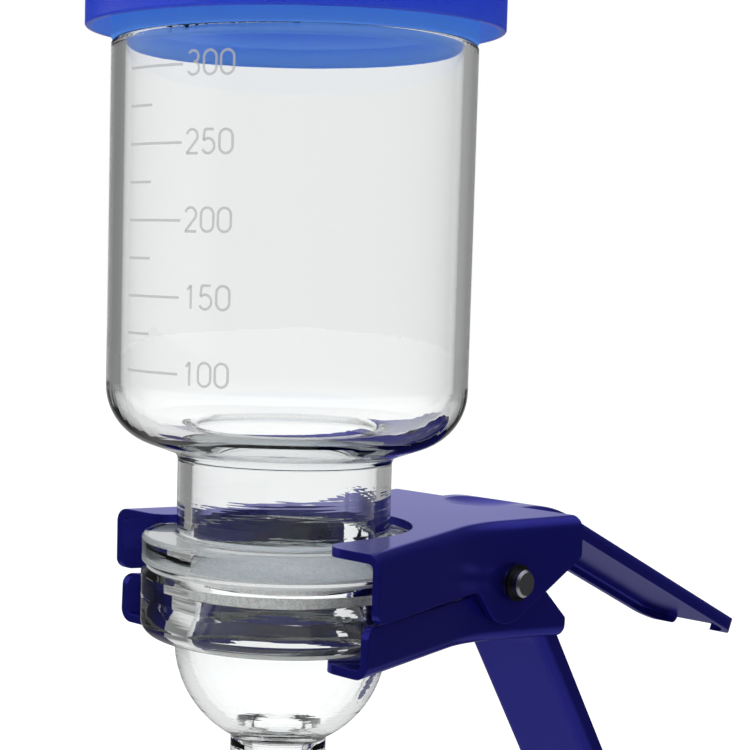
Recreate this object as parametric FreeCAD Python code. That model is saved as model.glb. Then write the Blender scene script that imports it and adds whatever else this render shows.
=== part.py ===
import FreeCAD, Part
import math
import os

# Vacuum filtration unit: glass funnel and support base held together by a sprung clamp,
# standing in a conical receiving flask. Millimetres, +Z up.
# Origin: centre of the flask's underside. +X: the way the clamp's handles point.
# Heights in the functions are counted from the ground joint between funnel and base
# ("joint plane"), which lies joint_height above the table.

V = FreeCAD.Vector

# working distances, which leave the shape as it is
overcut = 1.0              # how far a cutting solid runs past what it cuts
near = 0.01                # two places this close are the same place
touching = 1e-6            # and this close need no line between them

# fits
ground_gap = 0.03          # between two ground glass faces
frit_gap = 0.05            # frit disc in its recess, all round
plug_gap = 0.35            # lid's spigot inside the funnel's mouth
jaw_gap = 0.2              # lower jaw wall to the glass flange
nest_gap = 0.4             # lower lever wall inside the upper one, room for the squeeze
jaw_seat_gap = 0.03        # jaw plate to the glass face it presses on
pin_gap = 0.05             # pin in the ears
ring_gap = 0.15            # retaining ring to the ear
groove_gap = 0.05          # retaining ring in the pin's groove

# receiving flask
flask_radius = 65.5
flask_height = 225.0
flask_wall = 2.5
flask_heel = 11.0          # rounding between bottom and side
flask_cone_top = 181.0     # height where the cone meets the neck
flask_neck_radius = 22.9
flask_shoulder_round = 16.0
flask_bead_radius = 25.2
flask_bead_height = 4.4
flask_bead_round = 1.9
flask_bead_root_round = 0.8
flask_mouth_round = 0.6
flask_side_lean = 0.2      # the side starts this far inside the flask's radius
flask_side_start = 1.3     # and this many heel roundings up
flask_side_round = 20.0
flask_side_round_inside = 17.0
flask_inside_step = 0.4    # inner line of the cone, inwards at both its ends
flask_inside_rise = 0.6    # up at its foot
flask_inside_drop = 1.0    # and down at its top
socket_past = 3.0          # ground socket past the cone's foot
socket_foot_round = 1.0

# ground cone of the support base (1 in 10) and how it sits in the flask
cone_radius = 20.0         # at its wide end
cone_length = 35.0
cone_taper = 0.05          # radius lost per unit length
cone_wall = 1.9
cone_stand = 2.0           # wide end above the flask's mouth
cone_drop = 84.0           # wide end below the joint plane
cone_foot_round = 1.0

# support base
base_flange_radius = 28.8
base_flange_round = 3.0
base_flange_depth = 14.0
base_bevel = 1.5
seal_margin = 1.4          # ground faces of both flanges end this far inside the base's
frit_radius = 19.2
frit_thickness = 4.9
frit_edge_round = 0.3
frit_ledge_radius = 17.6
bowl_radius = 21.7
bowl_wall = 2.6
bowl_centre = 15.5         # below the joint plane
bowl_root_round = 0.5      # between flange and bowl
tube_radius = 9.8
tube_wall = 1.15
tube_blend = 1.2
drip_radius = 6.9
drip_wall = 1.6
drip_end = 150.0
drip_slant = 45.0          # of its cut end, degrees
seal_lap = 1.0             # drip tube up into the ring seal
seal_depth = 37.5          # ring seal closing the space between the two tubes
shoulder_top = 69.0        # the tube widens to the cone from here
shoulder_foot = 3.0        # down to this far above the cone
shoulder_round = 4.0
shoulder_inside_drop = 0.5     # the same line on the inside
shoulder_inside_foot = 1.6
shoulder_inside_round = 5.0
shoulder_inside_foot_round = 3.0
cone_mouth_depth = 0.5     # straight part above the cone's own bore
nozzle_depth = 56.0
nozzle_radius = 5.0
nozzle_root = 2.0          # swelling where the nozzle leaves the tube: its length
nozzle_swell = 0.9         # and how much wider it is than the shank
nozzle_shank = 10.0
nozzle_barbs = 4
nozzle_pitch = 5.0
nozzle_waist = 4.1
nozzle_bore = 2.75
groove_slope = 0.6         # each barb, counted from its start: foot of the step
groove_end = 1.2           # end of the groove
barb_crest = 2.0           # widest place
barb_tail = 0.35           # its thin end is this much wider than the groove
nozzle_lip = 1.5           # plain end past the last barb
nozzle_lip_round = 0.8

# funnel
funnel_radius = 36.4
funnel_wall = 2.8
funnel_top = 104.8
funnel_shoulder = 28.0     # where wall and shoulder lines cross
funnel_shoulder_round = 12.0
funnel_shoulder_thinning = 0.2
funnel_rim_flat = 0.04     # left between the two roundings of the rim
neck_radius = 21.7
neck_wall = 2.9
neck_top = 22.7
neck_round = 2.0
flange_step = 0.1          # the funnel's flange is this much smaller than the base's
funnel_flange_height = 6.4
funnel_flange_round = 1.0
funnel_flange_bevel = 1.1
neck_foot_round = 0.8

# lid
lid_radius = 41.6
lid_wall = 1.7
lid_skirt_bottom = 107.0
lid_top = 126.5
lid_top_thickness = 2.4
lid_top_round = 3.0
lid_seat_wall = 2.0
lid_spigot_wall = 1.8
lid_spigot_depth = 1.9
lid_ledge = 2.0
lid_edge_round = 0.5
lid_root_round = 0.8
lid_seat_round = 0.3
lid_inside_round = 1.2

# clamp: plan measured from the glass axis, x towards the handles
sheet = 1.8
bend_round = 2.9           # outside of the pressed bends
handle_bend_less = 0.4     # the handles' bends are this much tighter
flank_angle = 17.6         # of the jaw's sides, degrees
jaw_tip = -12.2
jaw_corner = 5.0
slot_half = 23.0
slot_centre = 4.9
waist_x = 35.5
waist_round = 30.0
ear_flare = 0.19           # sideways per unit length behind the waist
ear_end = 62.2
lower_ear_end = 60.8
plan_overrun = 30.0        # how far the pressing's blank runs past both ends
plan_reach = 90.0          # sideways, past every part of a lever
blank_depth = 60.0         # deeper than any wall or ear
bend_least_y = 8.0         # bends of the blank are further from the middle than this
fork_past = 0.5            # the fork's cut goes this far below the plate
pin_x = 43.6
pin_z = -4.5
lower_tilt = 2.0           # lower lever from parallel, degrees
wall_corner = 2.2          # lower front corner of both side walls
upper_wall_front = 13.1    # depth of the upper side wall at the jaw's tip
upper_wall_waist = 13.9
upper_ear_front = 33.2     # where the upper ear starts to hang below the wall
upper_ear_front_round = 3.5
upper_ear_low_x = 41.2     # lowest corner of the upper ear
upper_ear_depth = 23.7
upper_ear_round = 5.9
upper_ear_rear_depth = 8.8
upper_ear_rear_round = 1.6
lower_wall_depth = 10.1
lower_ear_front = 33.5     # where the lower ear starts to rise above the wall
lower_ear_front_round = 3.0
lower_crown_front = 36.6   # flat crown of the lower ear, from here
lower_crown_front_round = 6.4
lower_crown_rear = 46.7    # to here
lower_crown_rear_round = 6.9
lower_ear_depth = 18.9
lower_ear_rear_depth = 4.4
lower_ear_rear_round = 1.2
handle_length = 87.0
handle_corner = 8.0
handle_end_round = 2.4     # flange's free edge, where it rises to the sheet at the end
handle_notch = 1.2
upper_handle_half = 13.7
upper_handle_flange = 3.9
upper_handle_angle = 24.9
upper_handle_knee = 72.4
upper_handle_round = 36.0
lower_handle_half = 11.8
lower_handle_flange = 5.0
lower_handle_angle = -55.3
lower_handle_knee = 68.6
lower_handle_round = 14.0
dimple_x = 63.0
dimple_radius = 34.0
dimple_depth = 1.2
dimple_half = 9.0          # its bulge stays this near the middle, off the flanges

# pin, rings and spring
pin_radius = 2.95
pin_stick_out = 1.9
pin_chamfer = 0.5
ring_thickness = 0.8
ring_radius = 3.9
groove_depth = 0.55
ring_mouth = 3.2
wire_radius = 0.9
coil_radius = 4.75
coil_turns = 7.5
coil_pitch = 2.0
leg_reach = 13.5           # of both spring legs behind the pin
leg_gap = 0.4              # from a leg's end to the sheet it pushes
knuckle_swell = 0.03       # the leg's first ball over the wire

# sizes that follow from the ones above
joint_height = flask_height + cone_stand + cone_drop
funnel_flange_radius = base_flange_radius - flange_step
seal_radius = base_flange_radius - seal_margin
flank_distance = base_flange_radius + jaw_gap + sheet + nest_gap + sheet
plate_top = funnel_flange_height + jaw_seat_gap + sheet
tip_lift = (pin_x - jaw_tip) * math.sin(math.radians(lower_tilt))
lower_level = -base_flange_depth - jaw_seat_gap - sheet - tip_lift


def unit(a, b):
    """Unit vector from a to b."""
    return (b - a).normalize()


def outline(points, plane="xz"):
    """Closed wire. A point is (a, b) or (a, b, rounding);
    ("by", a, b) joins its neighbours with an arc that passes through it."""
    def place(a, b):
        return V(a, 0, b) if plane == "xz" else V(a, b, 0)

    corners = [p for p in points if p[0] != "by"]
    spots = [place(p[0], p[1]) for p in corners]
    count = len(corners)
    vias = {}
    seen = -1
    for p in points:
        if p[0] == "by":
            vias[seen] = place(p[1], p[2])
        else:
            seen += 1
    arrive, leave, arcs = [], [], []
    for i, p in enumerate(corners):
        here = spots[i]
        if len(p) < 3 or p[2] <= 0:
            arrive.append(here)
            leave.append(here)
            arcs.append(None)
            continue
        back = unit(here, spots[i - 1])
        ahead = unit(here, spots[(i + 1) % count])
        half = back.getAngle(ahead) / 2
        reach = p[2] / math.tan(half)
        middle = (back + ahead).normalize()
        centre = here + middle * (p[2] / math.sin(half))
        arrive.append(here + back * reach)
        leave.append(here + ahead * reach)
        arcs.append(centre - middle * p[2])
    edges = []
    for i in range(count):
        after = (i + 1) % count
        if arcs[i] is not None:
            edges.append(Part.Arc(arrive[i], arcs[i], leave[i]).toShape())
        if i in vias:
            edges.append(Part.Arc(leave[i], vias[i], arrive[after]).toShape())
        elif leave[i].distanceToPoint(arrive[after]) > touching:
            edges.append(Part.LineSegment(leave[i], arrive[after]).toShape())
    return Part.Wire(edges)


def turned(points):
    """Solid of revolution about Z from an outline in the XZ plane."""
    return Part.Face(outline(points)).revolve(V(0, 0, 0), V(0, 0, 1), 360)


def plate(points, low, high):
    """Prism of an XY outline between two heights."""
    wire = outline(points, "xy")
    wire.translate(V(0, 0, low))
    return Part.Face(wire).extrude(V(0, 0, high - low))


def side_prism(points, half_width):
    """Prism of an XZ outline, centred on Y."""
    wire = outline(points)
    wire.translate(V(0, -half_width, 0))
    return Part.Face(wire).extrude(V(0, 2 * half_width, 0))


def crossing(radius, distance):
    """How far from its middle a circle is at a given distance from the axis."""
    return math.sqrt(radius * radius - distance * distance)


def cap():
    """Lid: flat top, outer skirt, and an inner wall that sits on the funnel's rim."""
    r = lid_radius
    seat = funnel_top
    seat_out = funnel_radius
    seat_in = seat_out - lid_seat_wall
    spigot_out = funnel_radius - funnel_wall - plug_gap
    spigot_in = spigot_out - lid_spigot_wall
    under = lid_top - lid_top_thickness
    return turned([
        (0, under), (0, lid_top), (r, lid_top, lid_top_round),
        (r, lid_skirt_bottom, lid_edge_round), (r - lid_wall, lid_skirt_bottom, lid_edge_round),
        (r - lid_wall, under, lid_root_round), (seat_out, under, lid_root_round),
        (seat_out, seat, lid_seat_round), (spigot_out, seat),
        (spigot_out, seat - lid_spigot_depth, lid_edge_round),
        (spigot_in, seat - lid_spigot_depth, lid_edge_round),
        (spigot_in, seat + lid_ledge), (seat_in, seat + lid_ledge),
        (seat_in, under, lid_inside_round),
    ])


def funnel():
    """Graduated funnel: wall, rounded shoulder, neck and ground flange."""
    r = funnel_radius
    w = funnel_wall
    bore = neck_radius - neck_wall
    flange = funnel_flange_radius
    drop = funnel_wall - funnel_shoulder_thinning
    rim_round = (funnel_wall - funnel_rim_flat) / 2
    return turned([
        (bore, ground_gap), (seal_radius, ground_gap),
        (flange, funnel_flange_bevel), (flange, funnel_flange_height, funnel_flange_round),
        (neck_radius, funnel_flange_height, neck_foot_round),
        (neck_radius, neck_top, neck_round), (r, funnel_shoulder, funnel_shoulder_round),
        (r, funnel_top, rim_round), (r - w, funnel_top, rim_round),
        (r - w, funnel_shoulder + drop, funnel_shoulder_round - w),
        (bore, neck_top + drop, neck_round),
    ])


def frit_disc():
    """Sintered disc lying in the base's recess, its face just under the ground one."""
    r = frit_radius - frit_gap
    low = frit_gap - frit_thickness
    return turned([(0, low), (r, low, frit_edge_round), (r, -frit_gap, frit_edge_round),
                   (0, -frit_gap)])


def nozzle_body():
    """Hose nozzle pointing along -X: plain shank, then a row of barbs."""
    start = tube_radius - tube_wall / 2
    shank_start = tube_radius + nozzle_root
    x = shank_start + nozzle_shank
    tail = nozzle_waist + barb_tail
    points = [(0, start), (nozzle_radius + nozzle_swell, start),
              (nozzle_radius, shank_start), (nozzle_radius, x)]
    for _ in range(nozzle_barbs):
        points += [(nozzle_waist, x + groove_slope), (nozzle_waist, x + groove_end),
                   (nozzle_radius, x + barb_crest), (tail, x + nozzle_pitch)]
        x += nozzle_pitch
    points += [(tail, x + nozzle_lip, nozzle_lip_round), (0, x + nozzle_lip)]
    body = turned(points)
    body.rotate(V(0, 0, 0), V(0, 1, 0), -90)
    body.translate(V(0, 0, -nozzle_depth))
    return body, x + nozzle_lip


def support_base():
    """Flange, bowl and outer tube in one, the drip tube sealed in at the bowl's foot."""
    foot = -bowl_centre - crossing(bowl_radius, tube_radius)
    diagonal = bowl_radius * math.sqrt(0.5)
    cone_top = -cone_drop
    cone_foot = cone_top - cone_length
    cone_foot_radius = cone_radius - cone_length * cone_taper
    overhang = base_flange_radius - bowl_radius
    flange_round = min(base_flange_round, overhang - bowl_root_round)
    outside = turned([
        (0, 0), (seal_radius, 0), (base_flange_radius, -base_bevel),
        (base_flange_radius, -base_flange_depth, flange_round),
        (bowl_radius, -base_flange_depth, bowl_root_round), (bowl_radius, -bowl_centre),
        ("by", diagonal, -bowl_centre - diagonal), (tube_radius, foot),
        (tube_radius, -shoulder_top, shoulder_round),
        (cone_radius, cone_top + shoulder_foot, shoulder_round),
        (cone_radius, cone_top), (cone_foot_radius, cone_foot, cone_foot_round), (0, cone_foot),
    ])
    seam = [e for e in outside.Edges
            if abs(e.BoundBox.ZMax - foot) < near and abs(e.BoundBox.ZMin - foot) < near]
    outside = outside.makeFillet(tube_blend, seam)
    nozzle, nozzle_end = nozzle_body()
    drip = turned([(0, -seal_depth + seal_lap), (drip_radius, -seal_depth + seal_lap),
                   (drip_radius, -drip_end), (0, -drip_end)])
    body = outside.fuse(nozzle)
    tube_in = tube_radius - tube_wall
    mouth = cone_radius - cone_wall
    vacuum_space = turned([
        (drip_radius, -seal_depth), (tube_in, -seal_depth),
        (tube_in, -shoulder_top - shoulder_inside_drop, shoulder_inside_round),
        (mouth, cone_top + shoulder_inside_foot, shoulder_inside_foot_round),
        (mouth, cone_top - cone_mouth_depth), (cone_foot_radius - cone_wall, cone_foot),
        (cone_foot_radius - cone_wall, cone_foot - overcut), (drip_radius, cone_foot - overcut),
    ])
    body = body.cut(vacuum_space)
    between_tubes = (drip_radius + tube_in) / 2
    hose_bore = Part.makeCylinder(nozzle_bore, nozzle_end + overcut - between_tubes,
                                  V(-nozzle_end - overcut, 0, -nozzle_depth), V(1, 0, 0))
    body = body.cut(hose_bore).fuse(drip)
    bowl_in = bowl_radius - bowl_wall
    drip_bore = drip_radius - drip_wall
    ledge_drop = -bowl_centre + crossing(bowl_in, frit_ledge_radius)
    bowl_foot = -bowl_centre - crossing(bowl_in, drip_bore)
    filtrate_way = turned([
        (0, overcut), (frit_radius, overcut), (frit_radius, -frit_thickness),
        (frit_ledge_radius, -frit_thickness), (frit_ledge_radius, ledge_drop),
        ("by", bowl_in, -bowl_centre), (drip_bore, bowl_foot),
        (drip_bore, -drip_end - overcut), (0, -drip_end - overcut),
    ])
    body = body.cut(filtrate_way)
    reach = 2 * drip_radius
    slant = Part.makeBox(2 * reach, 2 * reach, reach, V(-reach, -reach, -reach))
    slant.rotate(V(0, 0, 0), V(0, 1, 0), drip_slant)
    slant.translate(V(0, 0, drip_radius - drip_end))
    return body.cut(slant).removeSplitter().Solids[0]


def receiving_flask():
    """Conical flask with a ground socket; heights from the table."""
    w = flask_wall
    neck = flask_neck_radius
    socket_top = cone_radius - cone_stand * cone_taper + ground_gap
    socket_foot_z = flask_height + cone_stand - cone_length - socket_past
    socket_foot = socket_top - (flask_height - socket_foot_z) * cone_taper
    bead = flask_bead_radius
    bead_foot = flask_height - flask_bead_height
    side_start = flask_heel * flask_side_start
    return turned([
        (0, 0), (flask_radius, 0, flask_heel),
        (flask_radius - flask_side_lean, side_start, flask_side_round),
        (neck, flask_cone_top, flask_shoulder_round), (neck, bead_foot, flask_bead_root_round),
        (bead, bead_foot, flask_bead_round), (bead, flask_height, flask_bead_round),
        (socket_top, flask_height, flask_mouth_round),
        (socket_foot, socket_foot_z, socket_foot_round),
        (socket_foot - flask_inside_step, flask_cone_top - flask_inside_drop,
         flask_shoulder_round - w),
        (flask_radius - w - flask_inside_step, side_start + flask_inside_rise,
         flask_side_round_inside),
        (flask_radius - w, w, flask_heel - w), (0, w),
    ])


def flank_side(x):
    """Outer face of the jaw's side, distance from the middle plane."""
    angle = math.radians(flank_angle)
    return flank_distance / math.cos(angle) - math.tan(angle) * x


def ear_side(x):
    """Outer face of the upper ear, distance from the middle plane."""
    return flank_side(waist_x) + ear_flare * (x - waist_x)


def lever_plan(inset):
    """Plan of a lever's blank, its sides moved in by inset, its ends run past the piece."""
    front = jaw_tip - plan_overrun
    rear = ear_end + plan_overrun
    half = [(front, flank_side(front)), (waist_x, flank_side(waist_x), waist_round),
            (rear, ear_side(rear))]
    points = [(x, -y, *more) for x, y, *more in half] + [(x, y, *more) for x, y, *more in half[::-1]]
    wire = outline(points, "xy")
    return wire if inset == 0 else wire.makeOffset2D(-inset)


def long_edges(shape, level):
    """Edges of a blank that lie at one height, off the middle and not across it."""
    found = []
    for e in shape.Edges:
        box = e.BoundBox
        if abs(box.ZMin - level) > near or abs(box.ZMax - level) > near:
            continue
        if box.YMin > bend_least_y or box.YMax < -bend_least_y:
            found.append(e)
    return found


def blank(inset, level, depth, rounding):
    """Filled pressing: the plan from its outer face down, with the bends rounded."""
    wire = lever_plan(inset)
    wire.translate(V(0, 0, level))
    body = Part.Face(wire).extrude(V(0, 0, -depth))
    return body.makeFillet(rounding, long_edges(body, level))


def handle_strip(top, half, depth, knee, angle, rounding, start, length, end_round):
    """Filled handle: a bent strip, its upper side top below the plate's outer face.
    A positive angle bends it down, to the side the walls hang on."""
    a = math.radians(angle)
    end_x = knee + length * math.cos(a)
    end_z = -length * math.sin(a)
    low = V(-math.sin(a), 0, -math.cos(a))
    shift = top * math.tan(a / 2)
    foot = top + depth
    lift = foot * math.tan(a / 2)
    way = math.copysign(1, angle)
    return side_prism([
        (start, -top), (knee - shift, -top, rounding - way * top),
        (end_x + low.x * top, end_z + low.z * top),
        (end_x + low.x * foot, end_z + low.z * foot, end_round),
        (knee - lift, -foot, rounding - way * foot), (start, -foot),
    ], half)


def round_end(strip, half, corner, length, knee, angle):
    """Strip with the two corners of its end rounded in plan."""
    past = handle_corner
    reach = handle_length
    around = plate([(length - corner, -half - past), (length + past, -half - past),
                    (length + past, half + past), (length - corner, half + past)], -reach, reach)
    kept = plate([(-reach, -half), (length, -half, corner), (length, half, corner),
                  (-reach, half)], -2 * reach, 2 * reach)
    trimming = around.cut(kept)
    trimming.rotate(V(0, 0, 0), V(0, 1, 0), angle)
    trimming.translate(V(knee, 0, 0))
    return strip.cut(trimming)


def handle(half, flange, knee, angle, rounding, root):
    """Channel-shaped handle; its flanges follow the rounded corners of the open end."""
    start = root - handle_corner
    bend = bend_round - handle_bend_less
    outer = handle_strip(0, half, flange, knee, angle, rounding, start, handle_length,
                         handle_end_round)
    outer = outer.makeFillet(bend, crest_edges(outer, 0, knee, angle, rounding, half))
    outer = round_end(outer, half, handle_corner, handle_length, knee, angle)
    inner_half = half - sheet
    inner_length = handle_length - sheet
    inner = handle_strip(sheet, inner_half, 2 * flange, knee, angle, rounding, start - sheet,
                         inner_length, 0)
    inner = inner.makeFillet(bend - sheet, crest_edges(inner, sheet, knee, angle, rounding, inner_half))
    inner = round_end(inner, inner_half, handle_corner - sheet, inner_length, knee, angle)
    mouth = handle_strip(sheet, half - handle_corner, 2 * flange, knee, angle, rounding,
                         start - sheet, handle_length + sheet, 0)
    channel = outer.cut(inner).cut(mouth)
    notch_end = root + handle_notch
    notch = plate([(start - sheet, -half - sheet), (notch_end, -half - sheet),
                   (notch_end, half + sheet), (start - sheet, half + sheet)],
                  -sheet - handle_length, -sheet)
    return channel.cut(notch)


def crest_edges(strip, top, knee, angle, rounding, half):
    """The two long outer edges of a handle strip, straight, bent and straight again."""
    a = math.radians(angle)
    normal = V(math.sin(a), 0, math.cos(a))
    way = math.copysign(1, angle)
    centre = V(knee - rounding * math.tan(abs(a) / 2), 0, -way * rounding)
    bend = rounding - way * top
    found = []
    for e in strip.Edges:
        box = e.BoundBox
        if box.YMax - box.YMin > near or abs(abs(box.YMax) - half) > near:
            continue
        middle = e.valueAt((e.FirstParameter + e.LastParameter) / 2)
        flat = V(middle.x, 0, middle.z)
        ends = [V(v.Point.x, 0, v.Point.z) for v in e.Vertexes]
        on_root = all(abs(p.z + top) < near for p in ends)
        on_tail = all(abs((p - V(knee, 0, 0)).dot(normal) + top) < near for p in ends)
        on_bend = abs(flat.distanceToPoint(centre) - bend) < near
        if on_root or on_tail or on_bend:
            found.append(e)
    return found


def lever(inset, side, grip, pin_drop):
    """One pressed lever, plate on top at height 0 and walls hanging down."""
    bend_in = bend_round - sheet
    outer = blank(inset, 0, blank_depth, bend_round)
    inner = blank(inset + sheet, -sheet, blank_depth, bend_in)
    body = outer.cut(inner).common(side_prism(side, plan_reach))
    body = body.fuse(grip)
    front = jaw_tip - plan_overrun
    fork = plate([
        (front, -plan_reach), (jaw_tip, -plan_reach), (jaw_tip, -slot_half, jaw_corner),
        (slot_centre, -slot_half), ("by", slot_centre + slot_half, 0), (slot_centre, slot_half),
        (jaw_tip, slot_half, jaw_corner), (jaw_tip, plan_reach), (front, plan_reach),
    ], -sheet - fork_past, overcut)
    hole = Part.makeCylinder(pin_radius + pin_gap, 2 * plan_reach,
                             V(pin_x, -plan_reach, -pin_drop), V(0, 1, 0))
    return body.cut(fork).cut(hole)


def pressed_dimple():
    """Dish pressed into the upper lever at the handle's root: hollow above, bulge below."""
    centre = V(dimple_x, 0, dimple_radius - dimple_depth)
    hollow = Part.makeSphere(dimple_radius, centre)
    bulge = Part.makeSphere(dimple_radius + sheet, centre)
    below = Part.makeBox(4 * dimple_half, 2 * dimple_half, dimple_half,
                         V(dimple_x - 2 * dimple_half, -dimple_half, -sheet - dimple_half))
    return hollow, bulge.common(below)


def upper_lever():
    """Outer lever: fork over the funnel's flange, long ears, handle to the rear."""
    side = [
        (jaw_tip, sheet), (jaw_tip, -upper_wall_front, wall_corner),
        (upper_ear_front, -upper_wall_waist, upper_ear_front_round),
        (upper_ear_low_x, -upper_ear_depth, upper_ear_round),
        (ear_end, -upper_ear_rear_depth, upper_ear_rear_round), (ear_end, sheet),
    ]
    grip = handle(upper_handle_half, upper_handle_flange, upper_handle_knee, upper_handle_angle,
                  upper_handle_round, ear_end)
    body = lever(0, side, grip, plate_top - pin_z)
    hollow, bulge = pressed_dimple()
    body = body.fuse(bulge).cut(hollow).removeSplitter().Solids[0]
    body.translate(V(0, 0, plate_top))
    return body


def lower_lever():
    """Inner lever: the same pressing turned over, nested between the upper ears."""
    side = [
        (jaw_tip, sheet), (jaw_tip, -lower_wall_depth, wall_corner),
        (lower_ear_front, -lower_wall_depth, lower_ear_front_round),
        (lower_crown_front, -lower_ear_depth, lower_crown_front_round),
        (lower_crown_rear, -lower_ear_depth, lower_crown_rear_round),
        (lower_ear_end, -lower_ear_rear_depth, lower_ear_rear_round), (lower_ear_end, sheet),
    ]
    grip = handle(lower_handle_half, lower_handle_flange, lower_handle_knee, lower_handle_angle,
                  lower_handle_round, lower_ear_end)
    body = lever(sheet + nest_gap, side, grip, pin_z - lower_level)
    body = body.removeSplitter().Solids[0].mirror(V(0, 0, 0), V(0, 0, 1))
    body.translate(V(0, 0, lower_level))
    body.rotate(V(pin_x, 0, pin_z), V(0, 1, 0), lower_tilt)
    return body


def ring_seat():
    """Inner face of a retaining ring, distance from the middle plane."""
    return ear_side(pin_x + ring_radius) + ring_gap


def pivot_pin():
    """Plain rod with chamfered ends and a groove outside each ear."""
    seat = ring_seat()
    half = seat + ring_thickness + pin_stick_out
    r = pin_radius
    g = pin_radius - groove_depth
    inner = seat - groove_gap
    outer = seat + ring_thickness + groove_gap
    body = turned([
        (0, -half), (r - pin_chamfer, -half), (r, -half + pin_chamfer), (r, -outer), (g, -outer),
        (g, -inner), (r, -inner), (r, inner), (g, inner), (g, outer), (r, outer),
        (r, half - pin_chamfer), (r - pin_chamfer, half), (0, half),
    ])
    body.rotate(V(0, 0, 0), V(1, 0, 0), 90)
    body.translate(V(pin_x, 0, pin_z))
    return body


def retaining_rings():
    """Two snap rings, open towards the rear, one in each groove."""
    seat = ring_seat()
    rings = []
    for side in (-1, 1):
        y = side * (seat + ring_thickness / 2) - ring_thickness / 2
        start = V(pin_x, y, pin_z)
        along = V(0, 1, 0)
        ring = Part.makeCylinder(ring_radius, ring_thickness, start, along)
        hole = Part.makeCylinder(pin_radius - groove_depth + groove_gap, ring_thickness, start, along)
        mouth = Part.makeBox(2 * ring_radius, ring_thickness, ring_mouth, V(pin_x, y, pin_z - ring_mouth / 2))
        rings.append(ring.cut(hole).cut(mouth))
    return Part.makeCompound(rings)


def leg(a, b):
    """Straight spring leg with a knuckle where it leaves the coil and a ball end."""
    bar = Part.makeCylinder(wire_radius, a.distanceToPoint(b), a, b - a)
    knuckle = Part.makeSphere(wire_radius + knuckle_swell, a)
    return bar.fuse(knuckle).fuse(Part.makeSphere(wire_radius, b))


def torsion_spring():
    """Close coil round the pin with one leg under each handle's plate."""
    length = coil_turns * coil_pitch
    helix = Part.makeHelix(coil_pitch, length, coil_radius)
    ring = Part.Wire(Part.makeCircle(wire_radius, V(coil_radius, 0, 0), V(0, 1, 0)))
    coil = Part.Wire(helix).makePipeShell([ring], True, True)
    coil = coil if coil.ShapeType == "Solid" else Part.makeSolid(coil)
    coil.translate(V(0, 0, -length / 2))
    coil.rotate(V(0, 0, 0), V(1, 0, 0), 90)
    coil.rotate(V(0, 0, 0), V(0, 1, 0), -90)
    coil.translate(V(pin_x, 0, pin_z))
    up_start = V(pin_x, length / 2, pin_z + coil_radius)
    down_start = V(pin_x, -length / 2, pin_z - coil_radius)
    up_end = V(pin_x + leg_reach, length / 2, plate_top - sheet - wire_radius - leg_gap)
    down_end = V(pin_x + leg_reach, -length / 2,
                 lower_level + sheet + wire_radius + leg_gap
                 - math.tan(math.radians(lower_tilt)) * leg_reach)
    return coil.fuse(leg(up_start, up_end)).fuse(leg(down_start, down_end))


pieces = {
    "cap": (cap, joint_height),
    "funnel": (funnel, joint_height),
    "frit_disc": (frit_disc, joint_height),
    "support_base": (support_base, joint_height),
    "receiving_flask": (receiving_flask, 0),
    "upper_lever": (upper_lever, joint_height),
    "lower_lever": (lower_lever, joint_height),
    "pivot_pin": (pivot_pin, joint_height),
    "retaining_rings": (retaining_rings, joint_height),
    "torsion_spring": (torsion_spring, joint_height),
}

os.makedirs("parts", exist_ok=True)
for node, (make, height) in pieces.items():
    shape = make()
    shape.translate(V(0, 0, height))
    shape.exportStep("parts/" + node + ".step")
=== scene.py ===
import math

import bpy
import numpy as np
from mathutils import Matrix, Vector


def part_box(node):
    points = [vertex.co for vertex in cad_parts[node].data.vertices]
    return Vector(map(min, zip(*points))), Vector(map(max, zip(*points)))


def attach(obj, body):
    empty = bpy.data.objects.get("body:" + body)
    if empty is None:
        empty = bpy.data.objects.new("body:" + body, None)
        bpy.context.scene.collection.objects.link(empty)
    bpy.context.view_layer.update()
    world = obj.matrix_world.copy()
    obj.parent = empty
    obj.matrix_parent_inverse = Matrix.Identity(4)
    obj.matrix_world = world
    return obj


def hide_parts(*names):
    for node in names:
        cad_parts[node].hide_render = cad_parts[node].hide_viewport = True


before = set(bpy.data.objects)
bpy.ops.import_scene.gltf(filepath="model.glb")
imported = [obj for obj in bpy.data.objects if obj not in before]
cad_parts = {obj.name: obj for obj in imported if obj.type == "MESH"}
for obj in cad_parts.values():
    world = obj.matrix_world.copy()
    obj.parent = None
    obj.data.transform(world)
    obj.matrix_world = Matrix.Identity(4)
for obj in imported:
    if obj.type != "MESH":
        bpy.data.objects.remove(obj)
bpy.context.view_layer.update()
MM = 0.001


# The camera: a long lens a little above the ground joint, close enough that only the
# middle of the unit is in the frame. The eye is placed from the joint plane and the
# glass axis, and the lens is shifted because the unit stands off the picture's middle.
joint_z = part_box("support_base")[1].z
camera_turn = math.radians(42.4)          # of the view about the glass axis
camera_pitch = 0.0947                     # radians, down
camera_roll = 0.0210                      # radians
eye_away, eye_side, eye_up = 370.91 * MM, 11.41 * MM, 64.2 * MM
lens_in_widths = 2.453973                 # focal length over the picture's width
lens_shift_x, lens_shift_y = 0.1944, 0.0628       # in picture widths
sensor_width = 36.0                       # millimetres, as lens sizes are given
nearest_seen, farthest_seen = 0.01, 50.0

across = Vector((math.cos(camera_turn), -math.sin(camera_turn), 0))
away = Vector((math.sin(camera_turn), math.cos(camera_turn), 0))
eye = -away * eye_away - across * eye_side + Vector((0, 0, joint_z + eye_up))
look = away * math.cos(camera_pitch) - Vector((0, 0, math.sin(camera_pitch)))
upright = away * math.sin(camera_pitch) + Vector((0, 0, math.cos(camera_pitch)))
right = across * math.cos(camera_roll) + upright * math.sin(camera_roll)
top = upright * math.cos(camera_roll) - across * math.sin(camera_roll)

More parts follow.
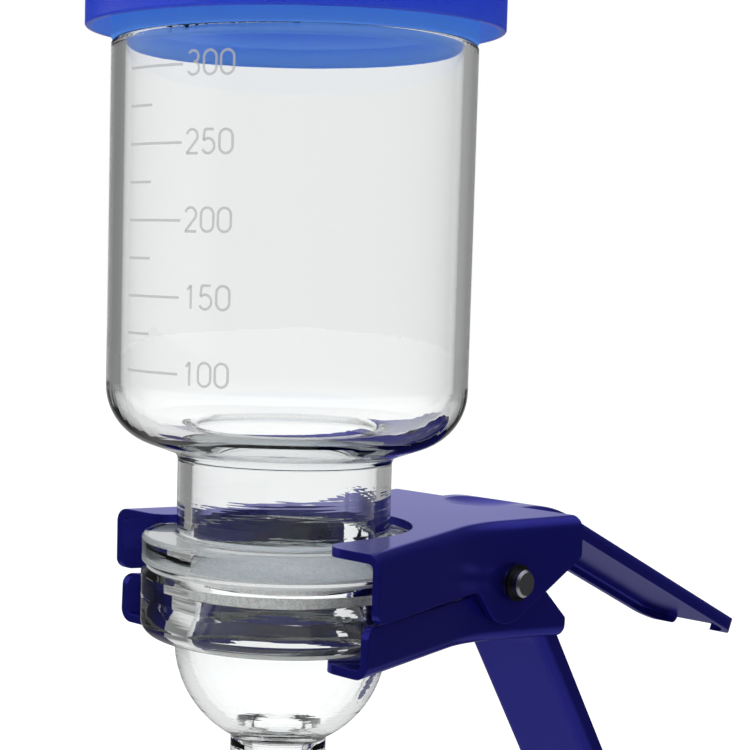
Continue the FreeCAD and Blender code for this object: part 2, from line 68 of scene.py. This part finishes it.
lens = bpy.data.cameras.new("camera")
lens.sensor_width = sensor_width
lens.lens = sensor_width * lens_in_widths
lens.shift_x = lens_shift_x
lens.shift_y = lens_shift_y
lens.clip_start = nearest_seen
lens.clip_end = farthest_seen
camera = bpy.data.objects.new("camera", lens)
turned = Matrix((right, top, -look)).transposed()
camera.matrix_world = Matrix.Translation(eye) @ turned.to_4x4()
bpy.context.scene.collection.objects.link(camera)
bpy.context.scene.camera = camera


# The studio: white paper on the table and all round. Clear glass shows it as white wherever
# it is seen straight through, and grey where the glass turns it round inside itself, as the
# unlit room does beside a paper sweep. Opaque gloss mirrors a dim room on the camera's side.
def linear(hex_colour):
    """sRGB hex to linear RGBA: c/12.92 up to 0.04045, and ((c + 0.055)/1.055)^2.4 above."""
    c = np.array([int(hex_colour[i:i + 2], 16) for i in (1, 3, 5)]) / 255
    c = np.where(c <= 0.04045, c / 12.92, ((c + 0.055) / 1.055) ** 2.4)
    return (*c.tolist(), 1.0)


def add(tree, kind, inputs=(), **settings):
    """Adds one node. inputs gives its sockets, in order or by name or number, each a value,
    an output, or a node, which stands for its first output."""
    node = tree.nodes.new("ShaderNode" + kind)
    for name, value in settings.items():
        setattr(node, name, value)
    for name, value in inputs.items() if isinstance(inputs, dict) else enumerate(inputs):
        if isinstance(value, bpy.types.Node):
            value = value.outputs[0]
        if isinstance(value, bpy.types.NodeSocket):
            tree.links.new(value, node.inputs[name])
        else:
            node.inputs[name].default_value = value
    return node


def blank_material(name):
    """A new material with an empty node tree."""
    material = bpy.data.materials.new(name)
    material.use_nodes = True
    material.node_tree.nodes.clear()
    return material, material.node_tree


smooth = {"interpolation_type": "SMOOTHSTEP"}     # Map Range of value, from, from, to, to
number = {"data_type": "FLOAT"}                   # Mix of two numbers
colour = {"data_type": "RGBA"}                    # Mix of two colours

soft_light = 0.55                         # what matt surfaces get from all round
room_light = 0.07                         # what gloss mirrors on the camera's side
ceiling_light = 0.95                      # overhead
backdrop_light = 0.85                     # straight on
side_light = 0.8                          # and on the left
ceiling_range = 0.3, 0.9                  # heights of a direction over which it comes up
backdrop_range = 0.955, 0.993             # cosines over which it comes up
side_range = 0.6, 0.97
edge_light = 0.36                         # what glass shows by mirroring inside itself
edge_lean = 0.13                          # less on the left, more on the right
straight_range = 0.965, 0.995             # cosines over which that gives way to white
slant_range = 0.12, 0.5                   # and slopes, up or down
straight_on = math.atan2(away.y, away.x)


def by_heading(tree, heading):
    """Cosine and sine of the angle between a horizontal heading (x, y) and straight on, and the
    light that glass turns round inside itself from there: edge_light, leaning by the sine."""
    angle = add(tree, "Math", (heading[1], heading[0]), operation="ARCTAN2")
    turn = add(tree, "Math", (angle, straight_on), operation="SUBTRACT")
    ahead = add(tree, "Math", (turn,), operation="COSINE")
    leftward = add(tree, "Math", (turn,), operation="SINE")
    lean = add(tree, "Math", (leftward, -edge_lean), operation="MULTIPLY")
    edge = add(tree, "Math", (lean, edge_light), operation="ADD")
    return ahead, leftward, add(tree, "MapRange", (ahead, *straight_range, edge, 1.0), **smooth)


def light_paths(tree):
    """The Light Path outputs, whether a ray was turned round inside glass, and whether it comes
    off gloss: rays through glass count as glossy too, so those are taken away."""
    path = add(tree, "LightPath").outputs
    inside_glass = add(tree, "Math", (path["Glossy Depth"], 0.5), operation="GREATER_THAN")
    off_gloss = add(tree, "Math", (path["Is Glossy Ray"], path["Is Transmission Ray"]),
                    operation="SUBTRACT")
    return path, inside_glass, off_gloss


world = bpy.data.worlds.new("paper_surround")
world.use_nodes = True
tree = world.node_tree
tree.nodes.clear()
heading = add(tree, "SeparateXYZ", {0: add(tree, "TexCoord").outputs["Generated"]}).outputs
ahead, leftward, turned = by_heading(tree, heading)
backdrop = add(tree, "MapRange", (ahead, *backdrop_range, room_light, backdrop_light), **smooth)
side = add(tree, "MapRange", (leftward, *side_range, 0.0, side_light), **smooth)
ceiling = add(tree, "MapRange", (heading[2], *ceiling_range, 0.0, ceiling_light), **smooth)
walls = add(tree, "Math", (backdrop, side), operation="MAXIMUM")
mirrored = add(tree, "Math", (walls, ceiling), operation="MAXIMUM")
slope = add(tree, "Math", (heading[2],), operation="ABSOLUTE")
slanting = add(tree, "MapRange", (slope, *slant_range, 0.0, ceiling_light), **smooth)
turned_back = add(tree, "Math", (turned, slanting), operation="MAXIMUM")
path, inside_glass, off_gloss = light_paths(tree)
strength = 1.0
for case, light in ((inside_glass, turned_back), (off_gloss, mirrored),
                    (path["Is Diffuse Ray"], soft_light), (path["Is Camera Ray"], 1.0)):
    strength = add(tree, "Mix", {"Factor": case, "A": strength, "B": light}, **number)
sky = add(tree, "Background", {"Color": linear("#FFFFFF"), "Strength": strength})
add(tree, "OutputWorld", {"Surface": sky})
bpy.context.scene.world = world

paper_half = 6.0                          # half the sheet's side
paper_share = 0.74                        # of the white that the lamps don't give the paper
paper_dimming = 0.7                       # of the lamps' part, seen inside glass
paper_behind_light = 0.36                 # what gloss mirrors of the paper beyond the unit
paper_behind_range = 0.9, 0.99
paper_near_light = 0.6                    # and close to it
paper_near_range = 0.2, 1.0
turned_near_light = 0.95                  # what glass turns round from the paper close by
turned_near_range = 0.6, 2.4
corners = np.array([(-1, -1, 0), (1, -1, 0), (1, 1, 0), (-1, 1, 0)]) * paper_half
sheet = bpy.data.meshes.new("table_paper")
sheet.from_pydata(corners.tolist(), [], [(0, 1, 2, 3)])
floor = bpy.data.objects.new("table_paper", sheet)
bpy.context.scene.collection.objects.link(floor)
paper_white, tree = blank_material("white_table_paper")
place = add(tree, "TexCoord").outputs["Object"]
ahead, _, turned = by_heading(tree, add(tree, "SeparateXYZ", {0: place}).outputs)
distance = add(tree, "VectorMath", {0: place}, operation="LENGTH").outputs["Value"]
close_by = add(tree, "MapRange", (distance, *turned_near_range, turned_near_light, 0.0), **smooth)
turned_back = add(tree, "Math", (turned, close_by), operation="MAXIMUM")
path, inside_glass, off_gloss = light_paths(tree)
white = add(tree, "Mix", {"Factor": inside_glass, "A": 1.0, "B": turned_back}, **number)
seen = add(tree, "Math", (path["Is Camera Ray"], path["Is Transmission Ray"]), operation="MAXIMUM")
shown = add(tree, "Mix", {"Factor": seen, "A": 0.0, "B": white}, **number)
own_light = add(tree, "Math", (shown, paper_share), operation="MULTIPLY")
glow = add(tree, "Emission", {"Color": linear("#FFFFFF"), "Strength": own_light})
matt = add(tree, "BsdfDiffuse", {"Color": linear("#C4C4C4")})
dimmed = add(tree, "Math", (inside_glass, paper_dimming), operation="MULTIPLY")
lit = add(tree, "MixShader", {0: dimmed, 1: matt})
both = add(tree, "AddShader", {0: lit, 1: glow})
beyond = add(tree, "MapRange", (ahead, *paper_behind_range, room_light, paper_behind_light), **smooth)
under = add(tree, "MapRange", (distance, *paper_near_range, paper_near_light, 0.0), **smooth)
mirrored = add(tree, "Math", (beyond, under), operation="MAXIMUM")
in_gloss = add(tree, "Emission", {"Color": linear("#FFFFFF"), "Strength": mirrored})
paper = add(tree, "MixShader", {0: off_gloss, 1: both, 2: in_gloss})
add(tree, "OutputMaterial", {"Surface": paper})
sheet.materials.append(paper_white)


def lamp(name, place, aim, size, power):
    """A square soft lamp at place, turned towards aim. Gloss and glass don't show its square."""
    light = bpy.data.lights.new(name, "AREA")
    light.size = size
    light.energy = power
    holder = bpy.data.objects.new(name, light)
    holder.location = place
    holder.rotation_euler = (Vector(aim) - Vector(place)).to_track_quat("-Z", "Y").to_euler()
    holder.visible_camera = False
    holder.visible_glossy = False
    holder.visible_transmission = False
    bpy.context.scene.collection.objects.link(holder)


overhead_beyond, overhead_up, overhead_size, overhead_watts = 0.35, 1.3, 1.0, 13.0
front_near, front_left, front_up, front_size, front_watts = 0.9, 1.0, 0.5, 0.8, 2.4
middle = Vector((0, 0, joint_z))
overhead = middle + away * overhead_beyond + Vector((0, 0, overhead_up))
in_front = middle - away * front_near - across * front_left + Vector((0, 0, front_up))
lamp("lamp_overhead", overhead, middle, overhead_size, overhead_watts)
lamp("lamp_front_left", in_front, middle, front_size, front_watts)


# The glass: borosilicate tubing and pressings, clear and fire-polished, with faint rings
# left by the lathe they were turned on. Where two parts meet they are ground matt.
glass_ior = 1.474
ring_pitch = 1.3 * MM                     # from one mark of the flame work to the next
flame_edge = 6 * MM                       # over which the rings fade
faint_ring = 0.04                         # what is left of them beyond
# The real grit is near 0.07 mm, too fine to show, so it is drawn coarse.
grit_size, grit_depth = 0.5 * MM, 0.012 * MM
ground_roughness = 0.4
ground_white = 0.7                        # share of a ground face that scatters like a powder
depth_tint = 9.0                          # absorption per metre


def from_axis(tree, xyz):
    """The point (x, y, 0) and its length, which is the distance from the glass axis."""
    flat = add(tree, "CombineXYZ", (xyz[0], xyz[1], 0.0))
    return flat, add(tree, "VectorMath", {0: flat}, operation="LENGTH").outputs["Value"]


def glass(name, grinding, ripple_height, ripples_below):
    """Clear borosilicate. grinding(tree, radius, z) gives how matt each point is, 0 to 1, in metres.
    Rings: noise on (x/r, y/r, z), so that it hardly changes round the axis and quickly along it,
    faint above the height ripples_below, where the tubing was never in the flame."""
    material, tree = blank_material(name)
    place = add(tree, "TexCoord").outputs["Object"]
    xyz = add(tree, "SeparateXYZ", {0: place}).outputs
    flat, radius = from_axis(tree, xyz)
    round_it = add(tree, "VectorMath", {0: flat}, operation="NORMALIZE")
    level = add(tree, "Math", (xyz[2], ring_pitch), operation="DIVIDE")
    up = add(tree, "CombineXYZ", (0.0, 0.0, level))
    rings_at = add(tree, "VectorMath", (round_it, up), operation="ADD")
    rings = add(tree, "TexNoise", {"Vector": rings_at, "Scale": 1.0, "Detail": 2.0, "Roughness": 0.5})
    clear_from = ripples_below + flame_edge
    worked = add(tree, "MapRange", (xyz[2], ripples_below, clear_from, 1.0, faint_ring), **smooth)
    ripple = add(tree, "Bump", {"Height": rings, "Strength": worked, "Distance": ripple_height})
    matt = grinding(tree, radius, xyz[2])
    grit = add(tree, "TexNoise", {"Vector": place, "Scale": 1 / grit_size, "Detail": 2.0})
    ground = add(tree, "Bump", {"Height": grit, "Strength": matt, "Distance": grit_depth, "Normal": ripple})
    rough = add(tree, "Mix", {"Factor": matt, "A": 0.0, "B": ground_roughness}, **number)
    clear = add(tree, "BsdfPrincipled", {
        "Base Color": linear("#FBFCFC"), "Roughness": rough, "IOR": glass_ior,
        "Transmission Weight": 1.0, "Normal": ground})
    frosting = add(tree, "BsdfDiffuse", {"Color": linear("#F6F7F7"), "Normal": ground})
    frosted = add(tree, "Math", (matt, ground_white), operation="MULTIPLY")
    worn = add(tree, "MixShader", {0: frosted, 1: clear, 2: frosting})
    open_to_lamps = add(tree, "BsdfTransparent", {"Color": linear("#F2F4F4")})
    path = add(tree, "LightPath").outputs
    surface = add(tree, "MixShader", {0: path["Is Shadow Ray"], 1: worn, 2: open_to_lamps})
    depth = add(tree, "VolumeAbsorption", {"Color": linear("#9AA09E"), "Density": depth_tint})
    add(tree, "OutputMaterial", {"Surface": surface, "Volume": depth})
    return material


def dress(node, material):
    """Gives a carried-over node its finish."""
    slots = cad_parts[node].data.materials
    slots.clear()
    slots.append(material)


# The receiving flask: a conical flask blown in one piece from borosilicate, with a bead
# at its mouth. Its socket is ground matt to take the cone of the support base, which
# stands in it by its own weight.
flask_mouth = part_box("receiving_flask")[1].z
socket_depth = 37 * MM
socket_outer = 20.6 * MM
grinding_edge = 0.2 * MM
flask_ripple = 0.02 * MM


def ground_socket(tree, radius, z):
    """Matt on the socket's wall: inside socket_outer, from socket_depth below the mouth up."""
    foot = flask_mouth - socket_depth
    above = add(tree, "MapRange", (z, foot - grinding_edge, foot, 0.0, 1.0), **smooth)
    wall_edge = grinding_edge / 2
    inside = add(tree, "MapRange", (radius, socket_outer - wall_edge, socket_outer, 1.0, 0.0), **smooth)
    return add(tree, "Math", (above, inside), operation="MULTIPLY")


dress("receiving_flask",
      glass("blown_borosilicate_ground_socket", ground_socket, flask_ripple, flask_mouth))


# The support base: flange, bowl and tubes worked from tubing, the flange's face and the
# cone ground matt, the rest fire-polished.
cone_top = joint_z - 84 * MM
cone_foot = joint_z - 119 * MM
cone_mid_wall = 19.2 * MM                 # radius midway through its wall, at the top
cone_slope = 0.05                         # radius lost per unit length
cone_edge = 0.3 * MM
plain_foot = 0.6 * MM                     # fire-polished end below the grinding
face_edges = 0.4 * MM, 0.2 * MM           # below the joint plane, where its grinding starts
lathe_ripple = 0.045 * MM


def ground_base(tree, radius, z):
    """Matt near the joint plane, and on the cone outside the middle of its wall, whose radius
    is cone_mid_wall + cone_slope * (z - cone_top)."""
    face = add(tree, "MapRange", (z, joint_z - face_edges[0], joint_z - face_edges[1], 0.0, 1.0), **smooth)
    below_top = add(tree, "Math", (z, cone_top), operation="SUBTRACT")
    narrowing = add(tree, "Math", (below_top, cone_slope), operation="MULTIPLY")
    mid_wall = add(tree, "Math", (cone_mid_wall, narrowing), operation="ADD")
    from_mid = add(tree, "Math", (radius, mid_wall), operation="SUBTRACT")
    outside = add(tree, "MapRange", (from_mid, 0.0, grinding_edge / 2, 0.0, 1.0), **smooth)
    below = add(tree, "MapRange", (z, cone_top, cone_top + cone_edge, 1.0, 0.0), **smooth)
    polished_to = cone_foot + plain_foot
    above = add(tree, "MapRange", (z, polished_to, polished_to + cone_edge, 0.0, 1.0), **smooth)
    along = add(tree, "Math", (below, above), operation="MULTIPLY")
    cone = add(tree, "Math", (outside, along), operation="MULTIPLY")
    return add(tree, "Math", (face, cone), operation="MAXIMUM")


dress("support_base", glass("lathe_worked_borosilicate_ground_cone", ground_base, lathe_ripple, joint_z))


# The frit: the disc that the membrane lies on, of glass grains sintered until they hold
# together and still let liquid through. The grains make it white and finely speckled.
sintered, tree = blank_material("sintered_glass_grains")
place = add(tree, "TexCoord").outputs["Object"]
grain = 0.3 * MM                          # drawn coarser than the real 0.2 mm, to show
pore_group = 3 * grain
relief_depth = 0.06 * MM
speckle_range = 0.05, 0.45
cells = add(tree, "TexVoronoi", {"Vector": place, "Scale": 1 / grain}, feature="F1")
pores = add(tree, "TexNoise", {"Vector": place, "Scale": 1 / pore_group, "Detail": 4.0})
mottle = add(tree, "Math", (cells, pores), operation="MULTIPLY")
speckle = add(tree, "MapRange", (mottle, *speckle_range, 0.0, 1.0), **smooth)
tint = add(tree, "Mix", {"Factor": speckle, "A": linear("#F0F1EF"), "B": linear("#C9CAC8")}, **colour)
relief = add(tree, "Bump", {"Height": cells, "Strength": 0.5, "Distance": relief_depth})
grains = add(tree, "BsdfPrincipled", {
    "Base Color": tint.outputs["Result"], "Roughness": 0.55, "IOR": 1.47,
    "Subsurface Weight": 0.3, "Subsurface Scale": 0.8 * MM, "Normal": relief})
add(tree, "OutputMaterial", {"Surface": grains})
dress("frit_disc", sintered)


# The funnel: a wide measured cylinder on a narrow neck, worked from borosilicate tubing.
# The neck was in the flame and shows the lathe's rings, the cylinder hardly does. Its
# flange is ground flat, and the clamp presses it on the base with the membrane between.
flange_face_edges = 0.25 * MM, 0.45 * MM  # above the joint plane, where its grinding ends
worked_height = 14 * MM                   # of the neck, which was in the flame


def ground_flange(tree, radius, z):
    """Matt near the joint plane."""
    start, end = flange_face_edges
    return add(tree, "MapRange", (z, joint_z + start, joint_z + end, 1.0, 0.0), **smooth)


dress("funnel", glass("clear_borosilicate_ground_flange", ground_flange, lathe_ripple,
                      joint_z + worked_height))


# The graduation: white enamel screened on the funnel's outside and fired, a line every 25 mL
# and a figure every 50 mL, drawn with a thin even stroke.
funnel_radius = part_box("funnel")[1].x
print_lift = 0.03 * MM
first_volume, volume_step, line_count = 100, 50, 9    # mL; every second line is a long one
first_line = joint_z + 40.5 * MM
line_step = 14.22 * MM                    # from one long line to the next
line_start = math.radians(169.0)
long_line, short_line = 14.6 * MM, 6.9 * MM
line_width, stroke_width = 0.5 * MM, 0.5 * MM
figure_start = math.radians(193.7)
figure_height, figure_width, figure_pitch = 4.35 * MM, 2.55 * MM, 3.45 * MM
figure_raise = 0.2 * MM
bend = 0.3                                # share of the height taken by a round end


def arc(middle, radii, start, end, steps=24):
    """Points of an ellipse's arc: middle + radii * (cos a, sin a), a from start to end in degrees."""
    a = np.radians(np.linspace(start, end, steps))
    return np.stack([middle[0] + radii[0] * np.cos(a), middle[1] + radii[1] * np.sin(a)], axis=1)


def line(start, end, steps=8):
    """Points evenly along a straight stroke."""
    return np.linspace(start, end, steps)


# Figures as strokes in a box one wide and one high.
zero = [np.concatenate([arc((0.5, 1 - bend), (0.5, bend), 180, 0),
                        arc((0.5, bend), (0.5, bend), 0, -180), [(0.0, 1 - bend)]])]
one = [line((0.32, 0.8), (0.62, 1.0)), line((0.62, 1.0), (0.62, 0.0))]
two = [np.concatenate([arc((0.48, 0.72), (0.46, 0.28), 165, -32), [(0.02, 0.0)]]),
       line((0.0, 0.0), (0.98, 0.0))]
three = [arc((0.47, 0.76), (0.43, 0.24), 150, -90), arc((0.47, 0.27), (0.49, 0.27), 90, -155)]
five = [line((0.9, 1.0), (0.17, 1.0)), line((0.17, 1.0), (0.08, 0.53)),
        arc((0.46, 0.31), (0.5, 0.31), 137, -152)]
figures = {"0": zero, "1": one, "2": two, "3": three, "5": five}


def on_funnel(spots, start_angle, height):
    """Flat (along, up) points wrapped on the funnel: angle = start + along/radius."""
    r = funnel_radius + print_lift
    a = start_angle + spots[..., 0] / funnel_radius
    return np.stack([r * np.cos(a), r * np.sin(a), height + spots[..., 1]], axis=-1)


def stroke(points, width):
    """A ribbon along a flat path: points +- width/2 times the path's unit normal."""
    along = np.gradient(points, axis=0)
    along /= np.linalg.norm(along, axis=1, keepdims=True)
    normal = np.stack([-along[:, 1], along[:, 0]], axis=1) * width / 2
    return np.stack([points + normal, points - normal], axis=1)


def ribbon_faces(count, first):
    """Quads of a ribbon of count pairs of points, counted from first."""
    i = np.arange(count - 1) * 2 + first
    return np.stack([i, i + 1, i + 3, i + 2], axis=1)


ribbons = []
for step in range(line_count):
    height = first_line + step * line_step / 2
    is_long = step % 2 == 0
    length = long_line if is_long else short_line
    ribbons.append(on_funnel(stroke(line((0, 0), (length, 0), 40), line_width), line_start, height))
    if not is_long:
        continue
    for place_in_word, figure in enumerate(str(first_volume + volume_step * step // 2)):
        for path in figures[figure]:
            drawn = path * (figure_width, figure_height)
            drawn[:, 0] += place_in_word * figure_pitch
            drawn[:, 1] += figure_raise - figure_height / 2
            ribbons.append(on_funnel(stroke(drawn, stroke_width), figure_start, height))
counts = [len(r) for r in ribbons]
firsts = np.cumsum([0] + counts[:-1]) * 2
faces = np.concatenate([ribbon_faces(c, f) for c, f in zip(counts, firsts)])
print_mesh = bpy.data.meshes.new("graduation_print")
print_mesh.from_pydata(np.concatenate([r.reshape(-1, 3) for r in ribbons]).tolist(), [], faces.tolist())
graduation = bpy.data.objects.new("graduation_print", print_mesh)
bpy.context.scene.collection.objects.link(graduation)
fired, tree = blank_material("fired_white_screen_enamel")
place = add(tree, "TexCoord").outputs["Object"]
# Fired enamel is matt, and thin enough to let some light through. The screen's threads are
# near 0.1 mm apart, too fine to show, so their mottling is drawn coarse.
screen_mesh = 0.3 * MM
screen = add(tree, "TexNoise", {"Vector": place, "Scale": 1 / screen_mesh, "Detail": 2.0})
thin = add(tree, "Mix", {"Factor": screen, "A": linear("#D6D6D6"), "B": linear("#E6E6E6")}, **colour)
enamel = add(tree, "BsdfPrincipled", {
    "Base Color": thin.outputs["Result"], "Roughness": 0.5, "Alpha": 0.75})
add(tree, "OutputMaterial", {"Surface": enamel})
print_mesh.materials.append(fired)
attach(graduation, "unit")


# The lid: moulded blue polypropylene, pushed into the funnel's mouth. It has the mould's
# gloss with a faint orange peel, and the wall is thin enough to glow where light is behind
# it, most of all on the inside of the skirt.
lid_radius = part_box("cap")[1].x
skirt_inside, skirt_middle = lid_radius - 1.6 * MM, lid_radius - 0.8 * MM
glow_inside, glow_outside = 0.85, 0.3     # share of the light that comes through the wall
haze_size = 9 * MM                        # over which the pigment varies
peel_size, peel_depth = 1.6 * MM, 0.02 * MM
lid_plastic, tree = blank_material("moulded_blue_polypropylene")
place = add(tree, "TexCoord").outputs["Object"]
haze = add(tree, "TexNoise", {"Vector": place, "Scale": 1 / haze_size, "Detail": 2.0})
blue = add(tree, "Mix", {"Factor": haze, "A": linear("#1826F0"), "B": linear("#1420E0")}, **colour)
skin = add(tree, "TexNoise", {"Vector": place, "Scale": 1 / peel_size, "Detail": 2.0})
orange_peel = add(tree, "Bump", {"Height": skin, "Strength": 0.4, "Distance": peel_depth})
moulded = add(tree, "BsdfPrincipled", {
    "Base Color": blue.outputs["Result"], "Roughness": 0.28, "IOR": 1.49, "Normal": orange_peel})
through = add(tree, "BsdfTranslucent", {"Color": linear("#B8E0FF")})
_, radius = from_axis(tree, add(tree, "SeparateXYZ", {0: place}).outputs)
glowing = add(tree, "MapRange", (radius, skirt_inside, skirt_middle, glow_inside, glow_outside), **smooth)
wall = add(tree, "MixShader", {0: glowing, 1: moulded, 2: through})
add(tree, "OutputMaterial", {"Surface": wall})
dress("cap", lid_plastic)


# The clamp's levers: pressed steel sheet, dipped in navy stoving enamel with a little metal
# flake in it, so that it is near black face on and lights up along the bends.
pool_size = 14 * MM                       # where the dip ran thicker or thinner
flow_size, flow_depth = 3.5 * MM, 0.02 * MM
softened_edge = 0.35 * MM                 # where the dip coat rounds a sheared edge
levers, tree = blank_material("navy_stoving_enamel")
place = add(tree, "TexCoord").outputs["Object"]
pool = add(tree, "TexNoise", {"Vector": place, "Scale": 1 / pool_size, "Detail": 2.0})
navy = add(tree, "Mix", {"Factor": pool, "A": linear("#202082"), "B": linear("#272790")}, **colour)
flow = add(tree, "TexNoise", {"Vector": place, "Scale": 1 / flow_size, "Detail": 1.0})
rounded = add(tree, "Bevel", {"Radius": softened_edge}, samples=4)
lacquer = add(tree, "Bump", {"Height": flow, "Strength": 0.5, "Distance": flow_depth, "Normal": rounded})
coat = add(tree, "BsdfPrincipled", {
    "Base Color": navy.outputs["Result"], "Metallic": 0.6, "Roughness": 0.2,
    "Specular Tint": linear("#AAAAF0"), "Normal": lacquer})
add(tree, "OutputMaterial", {"Surface": coat})
dress("upper_lever", levers)
dress("lower_lever", levers)


# The pivot pin: bright drawn steel rod through all four ears, chamfered and faced on a
# lathe, whose tool leaves fine rings on its ends that catch the light.
pin_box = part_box("pivot_pin")
pin_middle = (pin_box[0] + pin_box[1]) / 2
# A real finishing feed is near 0.1 mm, too fine to show, so the rings are drawn coarse.
turning_pitch, turning_depth = 0.3 * MM, 0.01 * MM
bright, tree = blank_material("bright_drawn_steel")
place = add(tree, "TexCoord").outputs["Object"]
centred = add(tree, "Mapping", {"Vector": place, "Location": (-pin_middle.x, 0, -pin_middle.z)})
xyz = add(tree, "SeparateXYZ", {0: centred}).outputs
across_pin = add(tree, "CombineXYZ", (xyz[0], 0.0, xyz[2]))
from_centre = add(tree, "VectorMath", {0: across_pin}, operation="LENGTH").outputs["Value"]
phase = add(tree, "Math", (from_centre, 2 * math.pi / turning_pitch), operation="MULTIPLY")
facing = add(tree, "Math", (phase,), operation="SINE")
turned_marks = add(tree, "Bump", {"Height": facing, "Strength": 0.25, "Distance": turning_depth})
steel = add(tree, "BsdfPrincipled", {
    "Base Color": linear("#A4A5AA"), "Metallic": 1.0, "Roughness": 0.25, "Normal": turned_marks})
add(tree, "OutputMaterial", {"Surface": steel})
dress("pivot_pin", bright)


# The retaining rings: snap rings stamped from spring steel and sprung into the pin's
# grooves. Their black-oxide finish is near black, with a slight cloudy bloom.
bloom_size = 0.6 * MM                     # of the cloudy patches
black_oxide, tree = blank_material("black_oxide_spring_steel")
place = add(tree, "TexCoord").outputs["Object"]
bloom = add(tree, "TexNoise", {"Vector": place, "Scale": 1 / bloom_size, "Detail": 3.0})
oxide = add(tree, "Mix", {"Factor": bloom, "A": linear("#121214"), "B": linear("#232327")}, **colour)
stamped = add(tree, "BsdfPrincipled", {
    "Base Color": oxide.outputs["Result"], "Metallic": 0.6, "Roughness": 0.38})
add(tree, "OutputMaterial", {"Surface": stamped})
dress("retaining_rings", black_oxide)


# The torsion spring: music wire wound close round the pin. The coil and its upper leg stay
# with the upper lever, and the lower leg lies in the lower lever and moves with it.
spring_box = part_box("torsion_spring")
wire = 0.9 * MM                           # radius
coil_radius = 4.75 * MM
coil_turns = 7.5
coil_pitch = 2.0 * MM
leg_reach = 13.5 * MM
wire_sides = 16
coil_rings, leg_rings, end_rings = 360, 24, 6


def wire_mesh(name, line_points, away_points, radii):
    """A round wire: line + radius * (cos b * away + sin b * (tangent x away)), b round the wire.
    The first and last rings have no radius, which closes the ends."""
    tangent = np.gradient(line_points, axis=0)
    tangent /= np.linalg.norm(tangent, axis=1, keepdims=True)
    aside = np.cross(tangent, away_points)
    b = np.linspace(0, 2 * np.pi, wire_sides, endpoint=False)[None, :, None]
    ring = np.cos(b) * away_points[:, None, :] + np.sin(b) * aside[:, None, :]
    grid = line_points[:, None, :] + radii[:, None, None] * ring
    i, j = np.meshgrid(np.arange(len(line_points) - 1), np.arange(wire_sides), indexing="ij")
    here, ahead = i * wire_sides, (i + 1) * wire_sides
    after = (j + 1) % wire_sides
    quads = np.stack([here + j, ahead + j, ahead + after, here + after], axis=-1)
    mesh = bpy.data.meshes.new(name)
    mesh.from_pydata(grid.reshape(-1, 3).tolist(), [], quads.reshape(-1, 4)[:, ::-1].tolist())
    mesh.polygons.foreach_set("use_smooth", [True] * len(mesh.polygons))
    piece = bpy.data.objects.new(name, mesh)
    bpy.context.scene.collection.objects.link(piece)
    return piece


def rounded_line(points, aways, radius):
    """The path with half-round ends: beyond each end by radius * sin c, with radius * cos c."""
    c = np.linspace(0, np.pi / 2, end_rings + 1)[1:, None]
    first = points[0] - points[1]
    last = points[-1] - points[-2]
    first /= np.linalg.norm(first)
    last /= np.linalg.norm(last)
    head = points[0] + radius * np.sin(c[::-1]) * first
    tail = points[-1] + radius * np.sin(c) * last
    closing = radius * np.cos(c[:, 0])
    radii = np.concatenate([closing[::-1], np.full(len(points), radius), closing])
    line_points = np.concatenate([head, points, tail])
    head_aways = np.repeat(aways[:1], end_rings, axis=0)
    tail_aways = np.repeat(aways[-1:], end_rings, axis=0)
    return line_points, np.concatenate([head_aways, aways, tail_aways]), radii


coil_length = coil_turns * coil_pitch
turn_at = np.linspace(0, 2 * np.pi * coil_turns, coil_rings)
centre = np.array(pin_middle)
outward = np.stack([-np.sin(turn_at), 0 * turn_at, np.cos(turn_at)], axis=1)
coil_line = centre + coil_radius * outward
coil_line[:, 1] = centre[1] + coil_length / 2 - coil_length * turn_at / turn_at[-1]
coil = wire_mesh("spring_coil", *rounded_line(coil_line, outward, wire))


def spring_leg(name, start, end):
    """A straight leg between two points: start + t * (end - start)."""
    points = np.linspace(start, end, leg_rings)
    direction = (end - start) / np.linalg.norm(end - start)
    sideways = np.cross(direction, (0.0, 1.0, 0.0))
    sideways /= np.linalg.norm(sideways)
    return wire_mesh(name, *rounded_line(points, np.repeat(sideways[None], leg_rings, axis=0), wire))


leg_top_z = spring_box[1].z - wire
leg_low_z = spring_box[0].z + wire
leg_x = centre[0] + leg_reach
upper_end = np.array([leg_x, coil_line[0, 1], leg_top_z])
lower_end = np.array([leg_x, coil_line[-1, 1], leg_low_z])
upper_leg = spring_leg("spring_upper_leg", coil_line[0], upper_end)
lower_leg = spring_leg("spring_lower_leg", coil_line[-1], lower_end)
# The die leaves the wire bright grey and slightly streaked. Its real marks are hundredths of
# a millimetre apart, too fine to show, so they are drawn coarse.
die_marks = 0.4 * MM
music_wire, tree = blank_material("drawn_music_wire")
place = add(tree, "TexCoord").outputs["Object"]
draw = add(tree, "TexNoise", {"Vector": place, "Scale": 1 / die_marks, "Detail": 2.0})
grey = add(tree, "Mix", {"Factor": draw, "A": linear("#7C7D80"), "B": linear("#9A9B9F")}, **colour)
drawn_wire = add(tree, "BsdfPrincipled", {
    "Base Color": grey.outputs["Result"], "Metallic": 1.0, "Roughness": 0.3})
add(tree, "OutputMaterial", {"Surface": drawn_wire})
for piece, body in ((coil, "unit"), (upper_leg, "unit"), (lower_leg, "squeezed_lever")):
    piece.data.materials.append(music_wire)
    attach(piece, body)
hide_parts("torsion_spring")


# Colours are shown with the plain Standard view transform, and the scene is brought up to date.
bpy.context.scene.view_settings.view_transform = "Standard"
bpy.context.view_layer.update()
